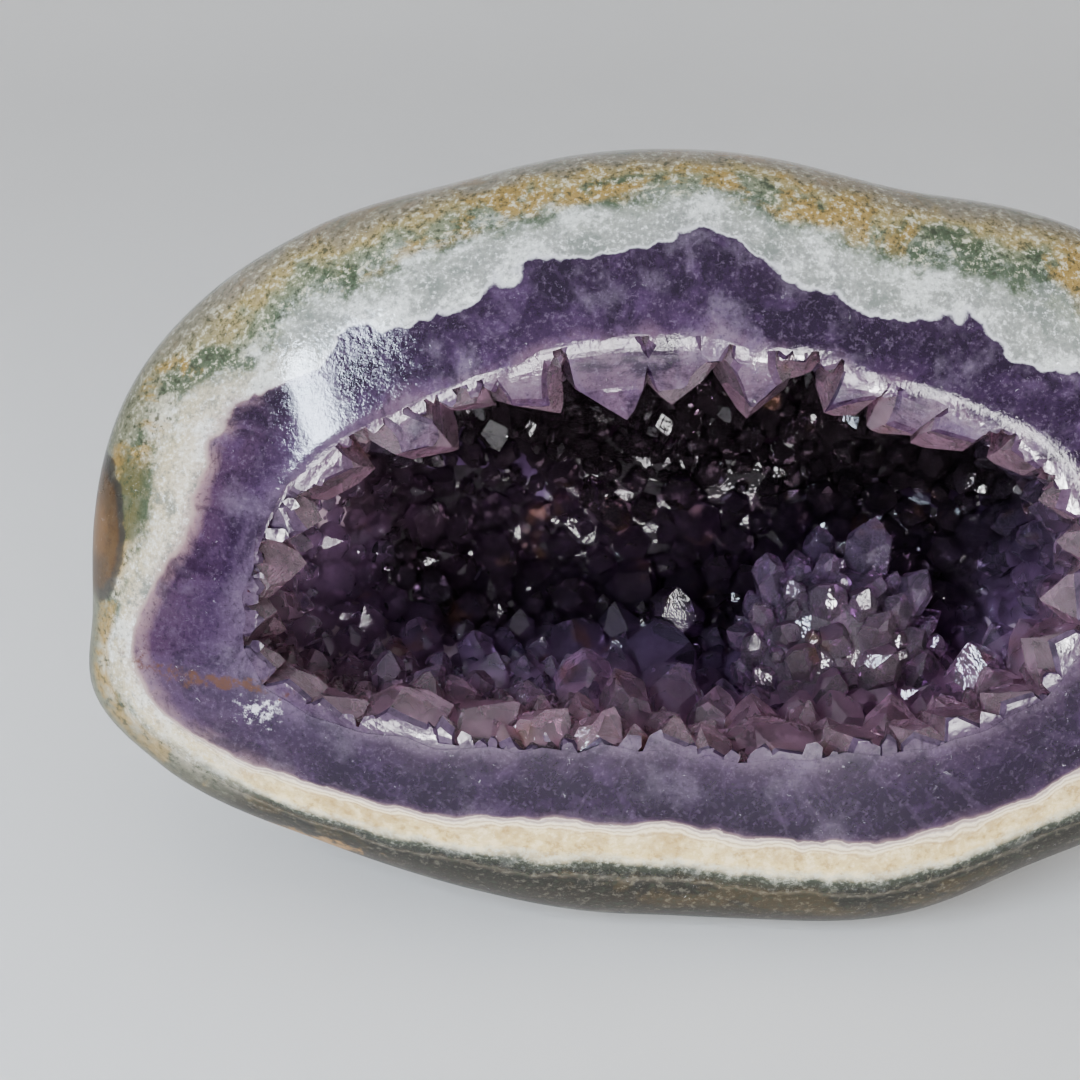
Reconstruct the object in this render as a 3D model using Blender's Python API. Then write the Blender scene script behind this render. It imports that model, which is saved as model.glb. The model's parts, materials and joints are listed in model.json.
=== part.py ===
"""Amethyst geode half: a hollow stone, cut open and polished all round, lined with amethyst points.

Two pieces: the stone shell (rind, agate and massive amethyst, one solid stone) and the crust of crystals
that lines its hollow. Units are metres. The frame is +Z up, +X to the right of the opening, and the
opening looks towards -Y and leans back a little. The origin is under the middle of the stone, on its foot.
"""
import math

import bmesh
import bpy
import numpy as np
from mathutils import Matrix, Vector, noise

MM = 0.001

# Pose of the cut face
FACE_LEAN = math.radians(20)
FOOT_BELOW_FACE_CENTRE = 68 * MM

# Outlines in the cut face: angle in degrees from the right, anticlockwise, and radius in millimetres
STONE_OUTLINE = [
    (0, 110.5), (20, 107.5), (40, 91), (60, 75.5), (80, 70.5), (100, 71.5), (120, 77.5), (140, 89.5),
    (160, 102), (177, 108.5), (186, 110.5), (194, 114), (203, 108.5), (220, 89), (240, 76), (265, 72),
    (290, 78), (315, 89.5), (330, 102.5), (345, 110.5),
]
HOLLOW_OUTLINE = [
    (0, 74), (15, 68), (30, 57), (45, 48), (60, 44), (75, 41.5), (90, 41), (105, 42.5), (120, 45.5),
    (135, 49), (150, 57.5), (165, 70), (180, 78), (195, 80), (210, 61), (225, 46), (240, 38.5),
    (255, 35), (270, 35), (285, 37), (300, 41), (315, 49), (330, 62), (345, 72),
]

# Depths from the plane of those outlines, and how square the form is: 2 is an ellipse
STONE_FRONT, STONE_FRONT_POWER = 26 * MM, 2.3
STONE_BACK, STONE_BACK_POWER = 80 * MM, 2.2
HOLLOW_FRONT, HOLLOW_FRONT_POWER = 45 * MM, 3.0
HOLLOW_BACK, HOLLOW_BACK_POWER = 52 * MM, 2.2
HOLLOW_DRIFT = 0.16
LUMP_HEIGHT, LUMP_WIDTH = 2.4 * MM, 42 * MM

# Facets round and from front to back: the stone, the seat of the crust and the air in the hollow
STONE_FACETS = (44, 18)
SEAT_FACETS = (32, 12)
AIR_FACETS = (24, 12)
OUTLINE_SAMPLES = 3600
GROUND_SIZE = 400 * MM

# The crust of crystals
CRUST_BASE = 5.5 * MM
CRUST_GAP = 0.4 * MM
POINT_SPACING = 11.5 * MM
POINT_ROOT = 4 * MM
POINT_RADII = (5.8 * MM, 7.2 * MM)
RIM_SIZE, LINING_SIZE, MOUND_SIZE = 0.84, 1.0, 1.15
POINT_PRISMS = (0.2 * MM, 3.2 * MM)
POINT_LEAN = 0.36
ROOT_FLARE = 1.08
TIP_PER_RADIUS = 1.12
TIP_OFFSET = 0.25
RIM_POINTS = 33
RIM_SETBACK = 3.2 * MM
RIM_SEARCH = (0.1, 0.9, 0.002)
LINING_SAMPLES = 3200
MOUND_CENTRE = (32 * MM, -24 * MM, -14 * MM)
MOUND_RADII = (15 * MM, 22 * MM, 14 * MM)
MOUND_SPACING = 10 * MM
MOUND_SAMPLES = 900

# Face frame: right, up the face, and out of it
RIGHT = Vector((1, 0, 0))
UP_FACE = Vector((0, math.sin(FACE_LEAN), math.cos(FACE_LEAN)))
OUT = Vector((0, -math.cos(FACE_LEAN), math.sin(FACE_LEAN)))


def closed_curve(stations):
    """A smooth closed radius, in metres, as a function of the angle in radians, through (degrees, mm)."""
    angles = np.radians([a for a, _ in stations])
    radii = np.array([r for _, r in stations]) * MM
    angles = np.concatenate([angles[-2:] - 2 * math.pi, angles, angles[:3] + 2 * math.pi])
    radii = np.concatenate([radii[-2:], radii, radii[:3]])
    slopes = np.gradient(radii, angles)

    def radius(angle):
        angle = angle % (2 * math.pi)
        i = int(np.searchsorted(angles, angle, side="right")) - 1
        step = angles[i + 1] - angles[i]
        t = (angle - angles[i]) / step
        return (
            (1 + 2 * t) * (1 - t) ** 2 * radii[i]
            + t * (1 - t) ** 2 * step * slopes[i]
            + t * t * (3 - 2 * t) * radii[i + 1]
            - t * t * (1 - t) * step * slopes[i + 1]
        )

    return radius


STONE_RADIUS = closed_curve(STONE_OUTLINE)
HOLLOW_RADIUS = closed_curve(HOLLOW_OUTLINE)


def lumps(point):
    """Low swellings of the stone's outside, in metres."""
    return LUMP_HEIGHT * noise.noise(Vector(point) / LUMP_WIDTH)


def stone_point(direction):
    """The stone's outside, in face coordinates, along a unit direction."""
    angle = math.atan2(direction.y, direction.x)
    spread = math.hypot(direction.x, direction.y)
    front = direction.z > 0
    power = STONE_FRONT_POWER if front else STONE_BACK_POWER
    depth = STONE_FRONT if front else -STONE_BACK
    reach = STONE_RADIUS(angle) * spread ** (2 / power)
    w = depth * abs(direction.z) ** (2 / power)
    point = Vector((reach * math.cos(angle), reach * math.sin(angle), w))
    return point + direction * lumps(point)


def hollow_point(direction, outwards=0.0):
    """The hollow's wall, moved outwards into the stone, in face coordinates, along a unit direction."""
    angle = math.atan2(direction.y, direction.x)
    spread = math.hypot(direction.x, direction.y)
    front = direction.z > 0
    power = HOLLOW_FRONT_POWER if front else HOLLOW_BACK_POWER
    depth = HOLLOW_FRONT if front else -HOLLOW_BACK - outwards
    reach = (HOLLOW_RADIUS(angle) + outwards) * spread ** (2 / power)
    w = depth * abs(direction.z) ** (2 / power)
    return Vector((reach * math.cos(angle) - HOLLOW_DRIFT * min(w, 0), reach * math.sin(angle), w))


def to_row(point):
    """From face coordinates to the row frame, before the stone is centred over the origin."""
    return RIGHT * point.x + UP_FACE * point.y + OUT * point.z


def sphere_directions(count):
    """Unit directions spaced evenly all round, as seeds in a sunflower."""
    turn = math.pi * (3 - math.sqrt(5))
    for k in range(count):
        z = 1 - (2 * k + 1) / count
        spread = math.sqrt(1 - z * z)
        yield Vector((spread * math.cos(turn * k), spread * math.sin(turn * k), z))


def stone_centre():
    """Where the face's centre goes, so that the origin is under the middle of the stone's box."""
    points = [to_row(stone_point(d)) for d in sphere_directions(OUTLINE_SAMPLES)]
    middle = [(min(p[i] for p in points) + max(p[i] for p in points)) / 2 for i in (0, 1)]
    return Vector((-middle[0], -middle[1], FOOT_BELOW_FACE_CENTRE))


FACE_CENTRE = stone_centre()


def place(point):
    """From face coordinates to the row frame."""
    return FACE_CENTRE + to_row(point)


def clear_scene():
    for obj in list(bpy.data.objects):
        bpy.data.objects.remove(obj)


def new_collection(name):
    collection = bpy.data.collections.new(name)
    bpy.context.scene.collection.children.link(collection)
    return collection


def material(name, colour, roughness):
    made = bpy.data.materials.new(name)
    made.use_nodes = True
    shader = made.node_tree.nodes["Principled BSDF"]
    shader.inputs["Base Color"].default_value = (*colour, 1)
    shader.inputs["Roughness"].default_value = roughness
    return made


def object_from(bm, name, collection):
    mesh = bpy.data.meshes.new(name)
    bmesh.ops.recalc_face_normals(bm, faces=bm.faces)
    bm.to_mesh(mesh)
    bm.free()
    obj = bpy.data.objects.new(name, mesh)
    collection.objects.link(obj)
    return obj


def as_cutter(obj):
    obj.hide_render = True
    obj.display_type = "WIRE"
    return obj


def sculpted_sphere(name, collection, facets, surface):
    """A sphere whose points are moved out to a surface given in face coordinates."""
    bm = bmesh.new()
    bmesh.ops.create_uvsphere(bm, u_segments=facets[0], v_segments=facets[1], radius=1)
    for vertex in bm.verts:
        vertex.co = place(surface(vertex.co.normalized()))
    return object_from(bm, name, collection)


def boolean(obj, operation, other=None, group=None):
    modifier = obj.modifiers.new(operation.lower(), "BOOLEAN")
    modifier.operation = operation
    modifier.solver = "EXACT"
    if group:
        modifier.operand_type = "COLLECTION"
        modifier.collection = group
    else:
        modifier.object = other


def keep_open_air(obj):
    """Works out an object's Booleans and drops its small closed pockets, so that one body is left."""
    graph = bpy.context.evaluated_depsgraph_get()
    bm = bmesh.new()
    bm.from_mesh(bpy.data.meshes.new_from_object(obj.evaluated_get(graph)))
    seen = set()
    bodies = []
    for start in bm.verts:
        if start in seen:
            continue
        body = [start]
        seen.add(start)
        for vertex in body:
            for edge in vertex.link_edges:
                other = edge.other_vert(vertex)
                if other not in seen:
                    seen.add(other)
                    body.append(other)
        bodies.append(body)
    bodies.sort(key=len)
    for body in bodies[:-1]:
        bmesh.ops.delete(bm, geom=body, context="VERTS")
    obj.modifiers.clear()
    bm.to_mesh(obj.data)
    bm.free()


def outward_of(surface, direction):
    """The surface's outward normal in face coordinates, from two nearby points."""
    step = 0.02
    side = direction.orthogonal().normalized()
    other = direction.cross(side)
    here = surface(direction)
    a = surface((direction + side * step).normalized()) - here
    b = surface((direction + other * step).normalized()) - here
    return a.cross(b).normalized()


def inside_stone(point, margin):
    """True if a point in face coordinates is that far inside the polished face."""
    angle = math.atan2(point.y, point.x)
    share = math.hypot(point.x, point.y) / STONE_RADIUS(angle)
    if share >= 1:
        return False
    face = STONE_FRONT * (1 - share**STONE_FRONT_POWER) ** (1 / STONE_FRONT_POWER)
    return point.z < face - margin


def mound_point(direction):
    centre = Vector(MOUND_CENTRE)
    return centre + Vector([c * r for c, r in zip(direction, MOUND_RADII)])


def in_mound(point):
    share = [(p - c) / r for p, c, r in zip(point, MOUND_CENTRE, MOUND_RADII)]
    return sum(s * s for s in share) < 1


def rim_seats():
    """Seats of the points that the polished cut passes through, all round the opening."""
    for k in range(RIM_POINTS):
        angle = 2 * math.pi * k / RIM_POINTS
        height, highest, step = RIM_SEARCH
        while height < highest:
            spread = math.sqrt(1 - height * height)
            direction = Vector((spread * math.cos(angle), spread * math.sin(angle), height))
            if not inside_stone(hollow_point(direction), RIM_SETBACK):
                break
            height += step
        yield hollow_point(direction), -outward_of(hollow_point, direction), RIM_SIZE


def lining_seats():
    """Seats over the rest of the hollow, a spacing apart, behind the rim's."""
    taken = [seat for seat, _, _ in rim_seats()]
    for direction in sphere_directions(LINING_SAMPLES):
        seat = hollow_point(direction)
        if not inside_stone(seat, 2 * RIM_SETBACK) or in_mound(seat):
            continue
        if all((seat - other).length > POINT_SPACING for other in taken):
            taken.append(seat)
            yield seat, -outward_of(hollow_point, direction), LINING_SIZE


def mound_seats():
    """Seats on the part of the mound that stands out of the hollow's floor."""
    taken = []
    for direction in sphere_directions(MOUND_SAMPLES):
        seat = mound_point(direction)
        angle = math.atan2(seat.y, seat.x)
        if math.hypot(seat.x, seat.y) > HOLLOW_RADIUS(angle) - POINT_ROOT:
            continue
        if all((seat - other).length > MOUND_SPACING for other in taken):
            taken.append(seat)
            yield seat, direction, MOUND_SIZE


def crystal(name, collection, radius, prism, tip, lean):
    """One quartz point along +Z from its root: a six-sided prism that narrows a little, and its pyramid."""
    bm = bmesh.new()
    bmesh.ops.create_cone(
        bm, cap_ends=True, segments=6, radius1=radius * ROOT_FLARE, radius2=radius, depth=prism,
        matrix=Matrix.Translation((0, 0, prism / 2)),
    )
    top = max(bm.faces, key=lambda face: face.calc_center_median().z)
    poked = bmesh.ops.poke(bm, faces=[top], offset=tip)
    poked["verts"][0].co += Vector(lean) * radius
    return as_cutter(object_from(bm, name, collection))


def grow_crystals(collection):
    """A crystal on each seat, leaning at random from the wall's normal."""
    random = np.random.RandomState(7)
    seats = [*rim_seats(), *lining_seats(), *mound_seats()]
    for k, (seat, inward, size) in enumerate(seats):
        radius = size * random.uniform(*POINT_RADII)
        prism = POINT_ROOT + random.uniform(*POINT_PRISMS)
        offset = [*random.uniform(-TIP_OFFSET, TIP_OFFSET, 2), 0]
        obj = crystal(f"crystal_{k}", collection, radius, prism, TIP_PER_RADIUS * radius, offset)
        lean = Vector(random.uniform(-POINT_LEAN, POINT_LEAN, 3))
        axis = (to_row(inward) + lean).normalized()
        spin = Matrix.Rotation(random.uniform(0, math.pi / 3), 4, "Z")
        root = place(seat) - axis * POINT_ROOT
        obj.matrix_world = Matrix.Translation(root) @ axis.to_track_quat("Z", "Y").to_matrix().to_4x4() @ spin
    return len(seats)


def main():
    clear_scene()
    geode = new_collection("geode_half")
    cutters = new_collection("cutters")
    points = new_collection("crystal_points")

    # Below the foot, for the flat that the stone rests on
    bm = bmesh.new()
    bmesh.ops.create_cube(bm, size=GROUND_SIZE, matrix=Matrix.Translation((0, 0, -GROUND_SIZE / 2)))
    ground = as_cutter(object_from(bm, "ground", cutters))

    # The whole stone, before it is hollowed
    stone = as_cutter(sculpted_sphere("whole_stone", cutters, STONE_FACETS, stone_point))
    boolean(stone, "DIFFERENCE", ground)

    # The stone shell: the whole stone less the seat of the crust
    shell = sculpted_sphere("stone_shell", geode, STONE_FACETS, stone_point)
    seat = as_cutter(
        sculpted_sphere("crust_seat", cutters, SEAT_FACETS, lambda d: hollow_point(d, CRUST_BASE))
    )
    boolean(shell, "DIFFERENCE", ground)
    boolean(shell, "DIFFERENCE", seat)
    shell.data.materials.append(material("polished_stone", (0.56, 0.54, 0.47), 0.12))

    # The air in the hollow: the hollow's form less the crystals and the mound that stand in it
    count = grow_crystals(points)
    bm = bmesh.new()
    bmesh.ops.create_icosphere(bm, subdivisions=2, radius=1)
    for vertex in bm.verts:
        vertex.co = place(mound_point(vertex.co.normalized()))
    as_cutter(object_from(bm, "mound", points))
    air = as_cutter(sculpted_sphere("air", cutters, AIR_FACETS, hollow_point))
    boolean(air, "DIFFERENCE", group=points)
    keep_open_air(air)

    # The crust: what fills its seat inside the polished stone, less that air
    crust = sculpted_sphere(
        "crystal_crust", geode, SEAT_FACETS, lambda d: hollow_point(d, CRUST_BASE - CRUST_GAP)
    )
    boolean(crust, "INTERSECT", stone)
    boolean(crust, "DIFFERENCE", air)
    crust.data.materials.append(material("amethyst", (0.16, 0.09, 0.25), 0.08))
    print(count, "crystals, face centre", FACE_CENTRE)


main()
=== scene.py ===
"""Looks of the geode half: the polished stone and the amethyst points that line its hollow."""

import json
import math

import bmesh
import bpy
import numpy as np
from mathutils import Matrix, Vector, noise

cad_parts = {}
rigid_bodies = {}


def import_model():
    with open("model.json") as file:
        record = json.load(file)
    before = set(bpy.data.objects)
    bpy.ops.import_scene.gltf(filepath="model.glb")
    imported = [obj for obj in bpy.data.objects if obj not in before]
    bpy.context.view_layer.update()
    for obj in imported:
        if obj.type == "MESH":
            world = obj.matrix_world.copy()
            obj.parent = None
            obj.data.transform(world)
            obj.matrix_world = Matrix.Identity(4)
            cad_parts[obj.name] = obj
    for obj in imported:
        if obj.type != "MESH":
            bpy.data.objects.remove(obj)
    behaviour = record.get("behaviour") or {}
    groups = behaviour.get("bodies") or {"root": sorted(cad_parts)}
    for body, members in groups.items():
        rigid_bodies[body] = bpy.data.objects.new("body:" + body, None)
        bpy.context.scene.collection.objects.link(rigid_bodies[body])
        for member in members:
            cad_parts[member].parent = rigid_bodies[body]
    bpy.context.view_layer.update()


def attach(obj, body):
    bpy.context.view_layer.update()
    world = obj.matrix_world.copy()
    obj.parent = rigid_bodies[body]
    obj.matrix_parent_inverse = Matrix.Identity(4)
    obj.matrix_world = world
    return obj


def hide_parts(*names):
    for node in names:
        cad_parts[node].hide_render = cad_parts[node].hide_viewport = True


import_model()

# The stone: one natural geode, cut open, then ground and polished all round. From the hollow outwards it is
# massive amethyst, grey-white quartz, green and ochre rind at the top and cream, tan and dark agate below.
# The bands follow the hollow's wall, so each point of the surface carries how far out it grew.
MM = 0.001
FACE_LEAN = math.radians(20)
FACE_CENTRE = Vector((0, -21.7, 68)) * MM
UP_FACE = Vector((0, math.sin(FACE_LEAN), math.cos(FACE_LEAN)))
OUT_OF_FACE = Vector((0, -math.cos(FACE_LEAN), math.sin(FACE_LEAN)))
STONE_OUTLINE = [
    (0, 109.6), (20, 106.2), (40, 89.6), (60, 74.2), (80, 69.5), (100, 70.4), (120, 76.2), (140, 87.9),
    (160, 101), (177, 107.2), (186, 109.2), (194, 112.2), (203, 105.5), (220, 87.2), (240, 74.6),
    (265, 70.7), (290, 76.9), (315, 88.2), (330, 101.8), (345, 109.6),
]
RIM_OUTLINE = [
    (0, 70.3), (15, 64.9), (30, 54), (45, 45), (60, 42.7), (75, 38.7), (90, 39.8), (105, 40.9),
    (120, 43.8), (135, 47.2), (150, 55.4), (165, 67.2), (180, 74.9), (195, 77), (210, 58.2), (225, 44.3),
    (240, 36.8), (255, 33.4), (270, 34), (285, 35.8), (300, 39.4), (315, 47), (330, 59), (345, 70),
]
VIOLET_OUTLINE = [
    (0, 84.5), (12, 81.3), (24, 73.5), (34, 63.6), (42, 60.9), (50, 54.6), (58, 50), (64, 50.7),
    (70, 50.1), (76, 50.5), (82, 53.9), (86, 55.7), (90, 56.3), (94, 55.5), (98, 53.3), (104, 53.8),
    (110, 54.8), (116, 56), (122, 55.1), (130, 57.2), (138, 61.2), (146, 70.7), (154, 72.2), (160, 81.9),
    (166, 84.2), (172, 83.8), (178, 87.1), (184, 95.1), (190, 100.4), (196, 98.3), (203, 88.5),
    (210, 77.7), (220, 66.3), (230, 57.4), (240, 51.2), (255, 48.4), (270, 47.8), (285, 51.7),
    (300, 58.4), (315, 67.2), (330, 78.8), (345, 86),
]
FRONT_DEPTH, FRONT_POWER = 26 * MM, 2.3
BACK_DEPTH, BACK_POWER = 79.5 * MM, 2.2
RIM_ROLL, RIM_ROLL_WIDTH, RIM_ROLL_REACH = 30, 2.8 * MM, 12 * MM
LUMP_HEIGHT, LUMP_WIDTH = 2.4 * MM, 42 * MM
TOOTH_WIDTHS = (8 * MM, 14 * MM)
# A low ridge at the upper left, where two strokes of the grinding wheel meet
RIDGE_AT = (-68 * MM, 33.5 * MM)
RIDGE_ACROSS = (0.873, 0.487)
RIDGE_SLOPE, RIDGE_WIDTH = 0.09, 5.5 * MM
RIDGE_FLARE, RIDGE_LENGTH = 16 * MM, 28 * MM
RIDGE_REACH_IN, RIDGE_REACH_OUT = 34 * MM, 20 * MM
# Points round the mesh, and its rows of points
AROUND = 448
BACK_ROWS, FACE_ROWS, LIP_ROWS, WALL_ROWS = 84, 62, 9, 52


def closed_curve(stations):
    """A smooth closed radius in metres over an angle in radians, through stations in degrees and mm."""
    angles = np.radians([a for a, _ in stations])
    radii = np.array([r for _, r in stations]) * MM
    angles = np.concatenate([angles[-2:] - 2 * math.pi, angles, angles[:3] + 2 * math.pi])
    radii = np.concatenate([radii[-2:], radii, radii[:3]])
    slopes = np.gradient(radii, angles)

    def radius(angle):
        angle = np.asarray(angle) % (2 * math.pi)
        i = np.searchsorted(angles, angle, side="right") - 1
        step = angles[i + 1] - angles[i]
        t = (angle - angles[i]) / step
        return (
            (1 + 2 * t) * (1 - t) ** 2 * radii[i]
            + t * (1 - t) ** 2 * step * slopes[i]
            + t * t * (3 - 2 * t) * radii[i + 1]
            - t * t * (1 - t) * step * slopes[i + 1]
        )

    return radius


stone_radius = closed_curve(STONE_OUTLINE)
rim_radius = closed_curve(RIM_OUTLINE)
violet_radius = closed_curve(VIOLET_OUTLINE)

# Teeth stand side by side along the rim, and the polish runs in over each to a point
random = np.random.RandomState(11)
turns = np.linspace(0, 2 * math.pi, 2881)
steps = np.hypot(np.diff(rim_radius(turns) * np.cos(turns)), np.diff(rim_radius(turns) * np.sin(turns)))
along_rim = np.concatenate([[0], np.cumsum(steps)])
tooth_widths = random.uniform(*TOOTH_WIDTHS, int(along_rim[-1] / np.mean(TOOTH_WIDTHS)))
tooth_widths *= along_rim[-1] / tooth_widths.sum()
notches = np.concatenate([[0], np.cumsum(tooth_widths)])
tooth_tops = notches[:-1] + tooth_widths * random.uniform(0.3, 0.7, len(tooth_widths))
tooth_angles = np.interp(tooth_tops, along_rim, turns)
zigzag_angles = np.concatenate([np.interp(notches, along_rim, turns), tooth_angles])
zigzag_steps = np.concatenate([np.full(len(notches), 0.03 * np.mean(TOOTH_WIDTHS)),
                               -tooth_widths * random.uniform(0.0, 0.15, len(tooth_widths))])
zigzag_steps[len(notches) - 1] = zigzag_steps[0]
zigzag_order = np.argsort(zigzag_angles)


def edge_radius(angle):
    """Where the polished face ends, over the hollow."""
    zigzag = np.interp(angle % (2 * math.pi), zigzag_angles[zigzag_order], zigzag_steps[zigzag_order])
    return rim_radius(angle) + zigzag


def face_height(angle, radius):
    """Height of the polished face over the cut plane, rolling down towards the hollow."""
    share = np.clip(radius / stone_radius(angle), 0, 1)
    dome = FRONT_DEPTH * (1 - share**FRONT_POWER) ** (1 / FRONT_POWER)
    roll = RIM_ROLL * np.clip(rim_radius(angle) + RIM_ROLL_WIDTH - radius, 0, RIM_ROLL_REACH) ** 2
    roll = roll * (0.55 + 0.45 * np.sin(angle))
    u = radius * np.cos(angle) - RIDGE_AT[0]
    v = radius * np.sin(angle) - RIDGE_AT[1]
    across = u * RIDGE_ACROSS[0] + v * RIDGE_ACROSS[1]
    along = u * RIDGE_ACROSS[1] - v * RIDGE_ACROSS[0]
    width = RIDGE_WIDTH * np.exp(np.clip(along / RIDGE_FLARE, -1.5, 1.1))
    fall = RIDGE_SLOPE * (np.sqrt(across**2 + width**2) - width)
    reach = np.where(across > 0, RIDGE_REACH_IN, RIDGE_REACH_OUT)
    fall = fall * np.exp(-((across / reach) ** 2) - (along / RIDGE_LENGTH) ** 4)
    return dome - roll - fall


def to_frame(u, v, w):
    """Face coordinates (right, up the face, out of it) to the frame's."""
    sideways = np.stack([u, np.zeros_like(u), np.zeros_like(u)], -1)
    upward = v[..., None] * np.array(UP_FACE)
    outward = w[..., None] * np.array(OUT_OF_FACE)
    return np.array(FACE_CENTRE) + sideways + upward + outward


def swellings(points, height, width):
    """Low swellings in metres, for points in face coordinates."""
    flat = points.reshape(-1, 3) / width
    return height * np.array([noise.noise(Vector(p)) for p in flat]).reshape(points.shape[:-1])


def swell(u, v, w):
    """Face coordinates moved out by the swellings of the stone's outside."""
    angle = np.arctan2(v, u)
    spread = np.clip(np.hypot(u, v) / stone_radius(angle), 0, 1)
    front = w > 0
    power = np.where(front, FRONT_POWER, BACK_POWER)
    depth = np.where(front, FRONT_DEPTH, BACK_DEPTH)
    out = np.stack([np.cos(angle) * spread ** (power / 2), np.sin(angle) * spread ** (power / 2),
                    np.sign(w) * np.clip(np.abs(w) / depth, 0, 1) ** (power / 2)], -1)
    points = np.stack([u, v, w], -1)
    points = points + out * swellings(points, LUMP_HEIGHT, LUMP_WIDTH)[..., None]
    return points[..., 0], points[..., 1], points[..., 2]


def turn_faces_out(mesh):
    """Turns every face of a closed mesh to look out of it."""
    bm = bmesh.new()
    bm.from_mesh(mesh)
    bmesh.ops.recalc_face_normals(bm, faces=bm.faces)
    bm.to_mesh(mesh)
    bm.free()


def mesh_of_rows(name, rows):
    """A closed mesh through rows of points that each go all the way round, first row to last."""
    count, around = rows.shape[:2]
    points = rows.reshape(-1, 3)
    i = np.arange(count - 1)[:, None] * around
    j = np.arange(around)[None, :]
    k = (j + 1) % around
    faces = np.stack([i + j, i + k, i + around + k, i + around + j], -1).reshape(-1, 4).tolist()
    for row, last in ((0, False), (count - 1, True)):
        start = row * around
        points = np.concatenate([points, rows[row].mean(0)[None]])
        tip = len(points) - 1
        for a in range(around):
            b = (a + 1) % around
            faces.append([start + a, start + b, tip] if last else [start + b, start + a, tip])
    mesh = bpy.data.meshes.new(name)
    mesh.from_pydata(points.tolist(), [], faces)
    mesh.update()
    turn_faces_out(mesh)
    return mesh


def put_in_scene(name, data):
    """A new object of a mesh, a light or a camera, in the scene."""
    obj = bpy.data.objects.new(name, data)
    bpy.context.scene.collection.objects.link(obj)
    return obj


def shade(mesh, smooth):
    """Shades all faces of a mesh smooth, or all of them flat."""
    mesh.polygons.foreach_set("use_smooth", np.full(len(mesh.polygons), smooth))


# The hollow's wall, on which the crystals stand. It leans to the right as it goes deeper.
HOLLOW_FRONT, HOLLOW_FRONT_POWER = 45 * MM, 3.0
HOLLOW_BACK, HOLLOW_BACK_POWER = 52 * MM, 2.2
HOLLOW_DRIFT = 0.16
WALL_LUMP_HEIGHT, WALL_LUMP_WIDTH = 3.2 * MM, 15 * MM
WALL_UNDER_CRYSTALS = 0.7 * MM
LIP_DEPTH, LIP_CORNER = 5 * MM, 2.6 * MM


def hollow_radius(angle):
    """The hollow's widest radius, such that its wall meets the polished face at the rim."""
    rim = rim_radius(angle)
    height = face_height(angle, rim) / HOLLOW_FRONT
    return rim / (1 - height**HOLLOW_FRONT_POWER) ** (1 / HOLLOW_FRONT_POWER)


def hollow_wall(angle, w, behind=0.0):
    """Face coordinates of the wall at a height over the cut plane, moved back into the stone."""
    front = w > 0
    depth = np.where(front, HOLLOW_FRONT, HOLLOW_BACK + behind)
    power = np.where(front, HOLLOW_FRONT_POWER, HOLLOW_BACK_POWER)
    share = np.clip(np.abs(w) / depth, 0, 1)
    reach = (hollow_radius(angle) + behind) * (1 - share**power) ** (1 / power)
    return reach * np.cos(angle) - HOLLOW_DRIFT * np.minimum(w, 0), reach * np.sin(angle), w


angles = np.linspace(0, 2 * math.pi, AROUND, endpoint=False)[None, :]

# Back and sides, from the middle of the back to the widest outline
turn = np.linspace(0.02, math.pi / 2, BACK_ROWS)[:, None]
back_share = np.sin(turn) ** (2 / BACK_POWER)
back_r = back_share * stone_radius(angles)
back_w = -BACK_DEPTH * np.cos(turn) ** (2 / BACK_POWER) * np.ones_like(angles)
back = swell(back_r * np.cos(angles), back_r * np.sin(angles), back_w)
back_growth = 3 - back_share * np.ones_like(angles)

# The face, from the widest outline in to the rolled rim
steps = np.linspace(0, 1, FACE_ROWS)[1:, None]
inner = edge_radius(angles)
inner_share = inner / stone_radius(angles)
inner_turn = np.arccos(np.clip(inner_share ** (FRONT_POWER / 2), 0, 1))
face_share = np.cos(steps * inner_turn) ** (2 / FRONT_POWER)
face_r = face_share * stone_radius(angles)
face = swell(face_r * np.cos(angles), face_r * np.sin(angles), face_height(angles, face_r))
face_growth = np.where(
    face_r < violet_radius(angles),
    (face_r - inner) / (violet_radius(angles) - inner),
    1 + (face_r - violet_radius(angles)) / (stone_radius(angles) - violet_radius(angles)),
)

# The edge, from the face down to the wall under the teeth, then the wall to the back of the hollow
start = np.stack(face, -1)[-1]
lip_w = face_height(angles, rim_radius(angles)) - LIP_DEPTH
corner = start - [0, 0, LIP_CORNER]
wall_start = np.stack(hollow_wall(angles, lip_w, WALL_UNDER_CRYSTALS), -1)[0]
t = np.linspace(0, 1, LIP_ROWS)[1:, None, None]
lip = (1 - t) ** 2 * start + 2 * t * (1 - t) * corner + t * t * wall_start
deep = np.linspace(0, 1, WALL_ROWS)[1:, None]
wall_back = HOLLOW_BACK + WALL_UNDER_CRYSTALS
wall_w = lip_w * (1 - deep) - wall_back * np.sin(deep * math.pi / 2) ** 1.2 * 0.998
wall = np.stack(hollow_wall(angles, wall_w, WALL_UNDER_CRYSTALS), -1)

rows = np.concatenate([np.stack(back, -1), np.stack(face, -1), lip, wall])
growth = np.concatenate([
    back_growth, face_growth, face_growth[-1:] * (1 - t[:, :, 0]), -deep * np.ones_like(angles),
])
placed = to_frame(rows[..., 0], rows[..., 1], rows[..., 2])
placed[..., 2] = np.maximum(placed[..., 2], 0)
stone_mesh = mesh_of_rows("polished_stone", placed)
stone = put_in_scene("polished_stone", stone_mesh)
shade(stone_mesh, True)
stone_mesh.set_sharp_from_angle(angle=math.radians(40))


def store(mesh, name, values, kind="FLOAT"):
    """Keeps a value, or a vector, for each point of a mesh under a name that its material reads."""
    layer = mesh.attributes.new(name, kind, "POINT")
    field = "vector" if kind == "FLOAT_VECTOR" else "value"
    layer.data.foreach_set(field, np.asarray(values, np.float32).ravel())


def with_ends(values, first, last):
    """Values for the rows of points, then for the two points that close the ends."""
    return np.concatenate([values.ravel(), [first, last]])


store(stone_mesh, "growth", with_ends(growth, 3, -1))


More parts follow.
